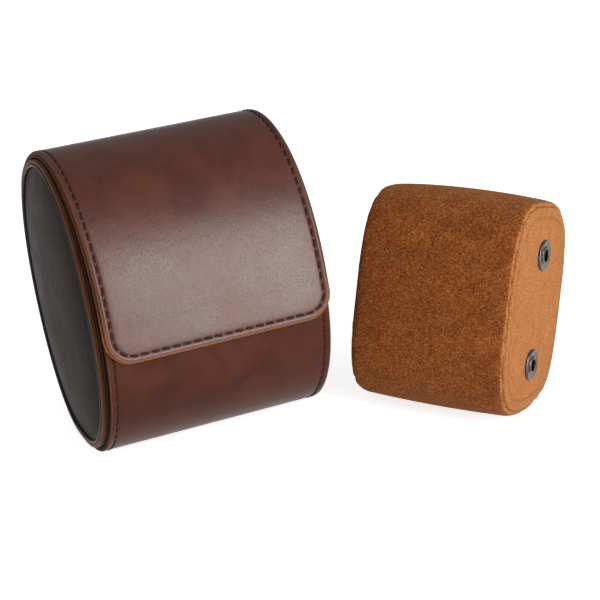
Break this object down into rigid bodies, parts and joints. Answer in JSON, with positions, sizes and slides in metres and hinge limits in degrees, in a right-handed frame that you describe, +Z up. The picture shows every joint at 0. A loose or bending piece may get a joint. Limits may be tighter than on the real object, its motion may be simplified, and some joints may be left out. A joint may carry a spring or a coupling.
{
  "type": "watch travel case",
  "caption": "Oval leather travel case for one watch, with padded ends, a wrap-over flap on a leather fold, and a loose suede pillow with press-stud sockets.",
  "frame": {"origin": "on the floor under the middle of the case's oval, in the flat strip that the case rests on", "axes": "+Z up; -Y is the front, where the flap closes; +X runs along the case towards the loose pillow"},
  "size_m": [0.1661, 0.1191, 0.0969],
  "materials": {
    "leather": "smooth waxed cowhide with a soft sheen",
    "leather_edge": "cut leather, burnished tan edge",
    "dark_leather": "smooth near-black leather, satin",
    "rim_leather": "turned dark leather rim, satin",
    "thread": "waxed thread",
    "card": "grey board, hidden",
    "foam": "soft foam, hidden",
    "suede": "rust suede with a nap",
    "suede_light": "tan suede with a short nap",
    "inner_suede": "brown suede lining",
    "gunmetal": "gunmetal plate, satin"
  },
  "bodies": {
    "case": {"base_wrap": "leather", "base_board": "card", "base_lining": "inner_suede", "hinge_tongue": "leather", "wall_magnets": "gunmetal", "wrap_stitching": "thread", "back_seam_stitching": "thread", "end_band_left": "leather_edge", "end_band_right": "leather_edge", "end_board_left": "card", "end_board_right": "card", "end_foam_left": "foam", "end_foam_right": "foam", "end_cover_left": "dark_leather", "end_cover_right": "dark_leather", "end_rim_left": "rim_leather", "end_rim_right": "rim_leather", "end_lining_left": "inner_suede", "end_lining_right": "inner_suede", "stud_upper": "gunmetal", "stud_lower": "gunmetal", "stud_caps": "gunmetal"},
    "flap": {"flap_leather": "leather", "flap_lining": "leather_edge", "flap_magnets": "gunmetal", "flap_stitching": "thread"},
    "pillow": {"pillow_core": "foam", "pillow_cover": "suede", "pillow_end_left": "suede_light", "pillow_end_right": "suede_light", "pillow_card_left": "card", "pillow_card_right": "card", "socket_upper": "gunmetal", "socket_lower": "gunmetal", "socket_eyelets": "gunmetal"}
  },
  "joints": [
    {"name": "flap_hinge", "type": "hinge", "parent": "case", "child": "flap", "pos_m": [0, 0.03957, 0.05739], "axis": [-1, 0, 0], "range_deg": [0, 130]},
    {"name": "pillow_lift", "type": "slide", "parent": "case", "child": "pillow", "axis": [0, 0, 1], "range_m": [0, 0.11]}
  ]
}
